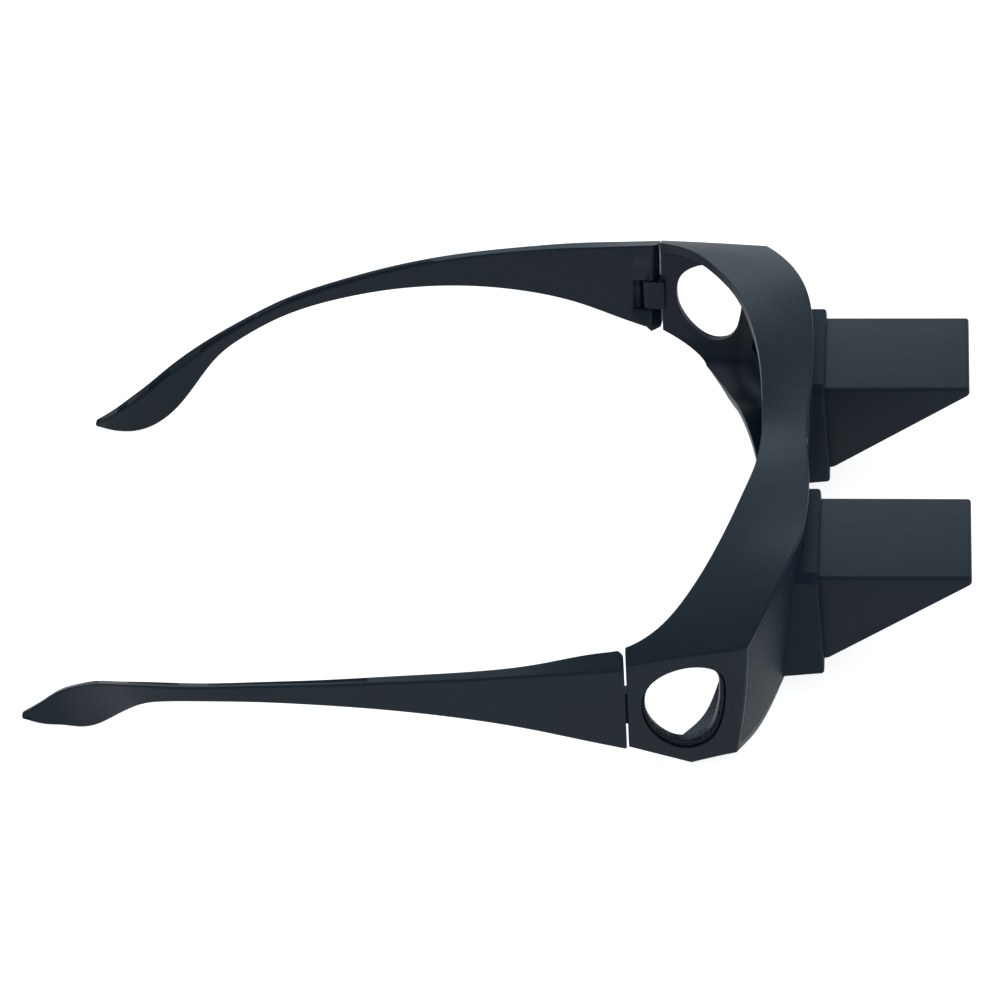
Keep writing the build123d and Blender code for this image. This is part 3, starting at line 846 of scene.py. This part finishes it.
class StageSettings(bpy.types.PropertyGroup):
    """Sizes and lights of the studio."""

    floor_size: bpy.props.FloatProperty(
        name="Floor size",
        description="Length of the square floor's side",
        default=12.0,
        unit="LENGTH",
    )
    daylight: bpy.props.FloatVectorProperty(
        name="Daylight",
        description="Colour of the light from the room and the softbox",
        default=(0.75, 0.89, 1.0),
        subtype="COLOR",
        min=0.0,
        max=1.0,
    )
    walls: bpy.props.FloatProperty(
        name="Walls",
        description="Brightness of the room at the horizon",
        default=0.76,
        min=0.0,
    )
    ceiling: bpy.props.FloatProperty(
        name="Ceiling",
        description="Brightness of the room overhead",
        default=0.95,
        min=0.0,
    )
    floor_glow: bpy.props.FloatProperty(
        name="Floor glow",
        description="Light that comes through the pale floor from below",
        default=0.85,
        min=0.0,
    )
    softbox_size: bpy.props.FloatProperty(
        name="Softbox size",
        description="Length of the square softbox's side",
        default=1.6,
        unit="LENGTH",
    )
    softbox_power: bpy.props.FloatProperty(
        name="Softbox power",
        description="Power of the softbox",
        default=11.0,
        unit="POWER",
    )
    lens: bpy.props.FloatProperty(
        name="Lens",
        description="Focal length of the camera in millimetres",
        default=171.27,
        subtype="DISTANCE_CAMERA",
    )


# Steps


class DressParts(bpy.types.Operator):
    """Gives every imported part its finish."""

    bl_idname = "bed_glasses.dress_parts"
    bl_label = "Dress parts"

    def execute(self, context):
        front = context.scene.bed_glasses_front
        colour, rough = front.colour, front.roughness
        sheen, edge = front.sheen, front.edge_radius
        cover_rough, base_rough = rough + COVER_ROUGHER, rough + BASE_ROUGHER
        # The bases' paler colour is painted light, standing in for the reflection that their lower
        # sheen loses
        paler, duller = scaled(colour, BASE_PAINTED_LIGHT_SHARE), sheen * BASE_SHEEN_SHARE
        plastic = moulded_plastic("Slate plastic", colour, GRAIN_DEPTH, rough, sheen, edge)
        cover = moulded_plastic("Cover plastic", colour, GRAIN_DEPTH, cover_rough, sheen, edge)
        base = moulded_plastic("Base plastic", paler, BASE_GRAIN_DEPTH, base_rough, duller, edge)
        block = {"IOR": ACRYLIC_INDEX, "Transmission Weight": 1.0}
        pane = {"Alpha": LENS_BODY}
        dress("front_frame", plastic)
        dress("prism_base", base)
        dress("prism_cover", cover)
        dress("temple", plastic)
        dress("prism", clear_plastic("Prism acrylic", ACRYLIC_TINT, 0.02, block))
        dress("side_lens", clear_plastic("Lens acrylic", LENS_TINT, 0.03, pane))
        dress("hinge_screw", turned_steel("Screw steel", STEEL_GREY))
        return {"FINISHED"}


class MouldTemples(bpy.types.Operator):
    """Moulds the two temples, with the hinge slot and the screw's recess in their roots."""

    bl_idname = "bed_glasses.mould_temples"
    bl_label = "Mould temples"

    def execute(self, context):
        sizes = context.scene.bed_glasses_pieces
        for name, side in SIDES.items():
            mirror = (side, 1.0, 1.0)
            rings = to_row(temple_rings() * mirror)
            temple = skin(f"temple_{name}_arm", rings, TEMPLE_FRONT_FACES)
            cut(temple, skin("Recess", to_row(recess_rings() * mirror)))
            spared = [np.sort(to_row(box * mirror), axis=0) for box in CRISP_BOXES]
            round_edges(temple, sizes.temple_edge, TEMPLE_SEGMENTS, spared)
            seat(temple, f"temple_{name}", f"temple_{name}", "Slate plastic")
        return {"FINISHED"}


class MouldCovers(bpy.types.Operator):
    """Moulds the two prism covers: rounded boxes, open at the back and under the slant."""

    bl_idname = "bed_glasses.mould_covers"
    bl_label = "Mould covers"

    def execute(self, context):
        sizes = context.scene.bed_glasses_pieces
        hollow, under = cover_cutters()
        half = COVER_WIDTH / 2 - COVER_WALL
        for name, side in SIDES.items():
            rings = to_row(cover_rings(sizes.cover_edge) * (side, 1.0, 1.0))
            cover = skin(f"prism_cover_{name}_shell", rings)
            middle = side * PRISM_MIDDLE
            cut(
                cover,
                extruded("Under", under, middle - COVER_WIDTH, middle + COVER_WIDTH),
                extruded("Hollow", hollow, middle - half, middle + half),
            )
            round_edges(cover, sizes.cover_lip, LIP_SEGMENTS)
            seat(cover, f"prism_cover_{name}", "front", "Cover plastic")
        return {"FINISHED"}


class PolishClearParts(bpy.types.Operator):
    """Makes the prisms with their bevels and the crowned side lenses."""

    bl_idname = "bed_glasses.polish_clear_parts"
    bl_label = "Polish clear parts"

    def execute(self, context):
        sizes = context.scene.bed_glasses_pieces
        for name, side in SIDES.items():
            mirror = (side, 1.0, 1.0)
            prism = skin(f"prism_{name}_block", to_row(prism_rings(sizes.prism_bevel) * mirror))
            seat(prism, f"prism_{name}", "front", "Prism acrylic")
            rings = to_row(lens_rings(sizes.lens_crown, sizes.lens_bevel) * mirror)
            lens = skin(f"side_lens_{name}_pane", rings)
            seat(lens, f"side_lens_{name}", "front", "Lens acrylic")
            self.darken_rim(lens)
        return {"FINISHED"}

    def darken_rim(self, lens):
        """Gives the narrow faces round the rim the frame's plastic, as a glued rim shows it. They
        are those that turn far from the middle of the inner face, the mesh's last one."""
        mesh = lens.data
        mesh.materials.append(bpy.data.materials["Slate plastic"])
        normals = read(mesh.polygons, "normal", 3)
        across = np.abs(normals @ normals[-1])
        mesh.polygons.foreach_set("material_index", (across < RIM_TURN_SHARE).astype(np.int32))


class SetStage(bpy.types.Operator):
    """Lays the floor, hangs the soft light and places the camera."""

    bl_idname = "bed_glasses.set_stage"
    bl_label = "Set stage"

    def execute(self, context):
        stage = context.scene.bed_glasses_stage
        self.lay_floor(context.scene, stage)
        self.hang_softbox(context.scene, stage)
        context.scene.world = self.light_room(stage)
        self.place_camera(context.scene, stage)
        context.scene.view_settings.view_transform = "Standard"
        return {"FINISHED"}

    def light_room(self, stage):
        """A pale room: its light goes from the walls' at the horizon to the ceiling's overhead."""
        shader = Shader(bpy.data.worlds.new("Studio"))
        direction = shader.node("ShaderNodeTexCoord", {}, {}, "Generated")
        height = shader.node("ShaderNodeSeparateXYZ", {}, {"Vector": direction}, "Z")
        walls, ceiling = (scaled(stage.daylight, grey)[:3] for grey in (stage.walls, stage.ceiling))
        light = shader.ramp(height, (HORIZON, walls), (OVERHEAD, ceiling))
        background = shader.node("ShaderNodeBackground", {}, {"Color": light, "Strength": 1.0})
        return shader.finish(background, "ShaderNodeOutputWorld")

    def lay_floor(self, scene, stage):
        """A square of pale paper just under the glasses."""
        half = stage.floor_size / 2
        mesh = bpy.data.meshes.new("floor")
        corners = [(-half, -half, 0.0), (half, -half, 0.0), (half, half, 0.0), (-half, half, 0.0)]
        mesh.from_pydata(corners, [], [(0, 1, 2, 3)])
        floor = bpy.data.objects.new("floor", mesh)
        scene.collection.objects.link(floor)
        mesh.materials.append(floor_paper("Studio paper", PAPER_GREY, stage.floor_glow))

    def hang_softbox(self, scene, stage):
        """A square softbox on the far side, which faces the glasses."""
        light = bpy.data.lights.new("Far softbox", "AREA")
        light.size = stage.softbox_size
        light.color = stage.daylight
        light.energy = stage.softbox_power
        lamp = bpy.data.objects.new("Far softbox", light)
        scene.collection.objects.link(lamp)
        lamp.location = SOFTBOX_PLACE
        lamp.rotation_mode = "QUATERNION"
        lamp.rotation_quaternion = (-Vector(SOFTBOX_PLACE)).to_track_quat("-Z", "Y")

    def place_camera(self, scene, stage):
        """The camera at the place and angle of the photograph's."""
        data = bpy.data.cameras.new("Camera")
        data.sensor_width = SENSOR_WIDTH
        data.lens = stage.lens
        data.clip_start = CAMERA_CLIP
        camera = bpy.data.objects.new("Camera", data)
        scene.collection.objects.link(camera)
        camera.location = CAMERA_PLACE
        camera.rotation_euler = [math.radians(angle) for angle in CAMERA_ANGLES]
        scene.camera = camera


class BedGlassesPanel(bpy.types.Panel):
    """The steps in the sidebar."""

    bl_idname = "VIEW3D_PT_bed_glasses"
    bl_label = "Bed glasses"
    bl_space_type = "VIEW_3D"
    bl_region_type = "UI"
    bl_category = "Bed glasses"

    def draw(self, context):
        layout = self.layout
        for group in SETTINGS:
            settings = getattr(context.scene, group)
            for name in settings.__annotations__:
                layout.prop(settings, name)
        for step in STEPS:
            layout.operator(step.bl_idname)


STEPS = (DressParts, MouldTemples, MouldCovers, PolishClearParts, SetStage)
SETTINGS = {
    "bed_glasses_front": FrontSettings,
    "bed_glasses_pieces": PieceSettings,
    "bed_glasses_stage": StageSettings,
}


def register():
    """Makes the settings, the steps and the panel known to Blender."""
    for settings in SETTINGS.values():
        bpy.utils.register_class(settings)
    for name, settings in SETTINGS.items():
        setattr(bpy.types.Scene, name, bpy.props.PointerProperty(type=settings))
    for step in (*STEPS, BedGlassesPanel):
        bpy.utils.register_class(step)


def unregister():
    """Takes them away again."""
    for step in reversed((*STEPS, BedGlassesPanel)):
        bpy.utils.unregister_class(step)
    for name in SETTINGS:
        delattr(bpy.types.Scene, name)
    for settings in reversed(SETTINGS.values()):
        bpy.utils.unregister_class(settings)


def main():
    """Runs every step."""
    register()
    bpy.ops.bed_glasses.dress_parts()
    bpy.ops.bed_glasses.mould_temples()
    bpy.ops.bed_glasses.mould_covers()
    bpy.ops.bed_glasses.polish_clear_parts()
    bpy.ops.bed_glasses.set_stage()


if __name__ == "__main__":
    main()
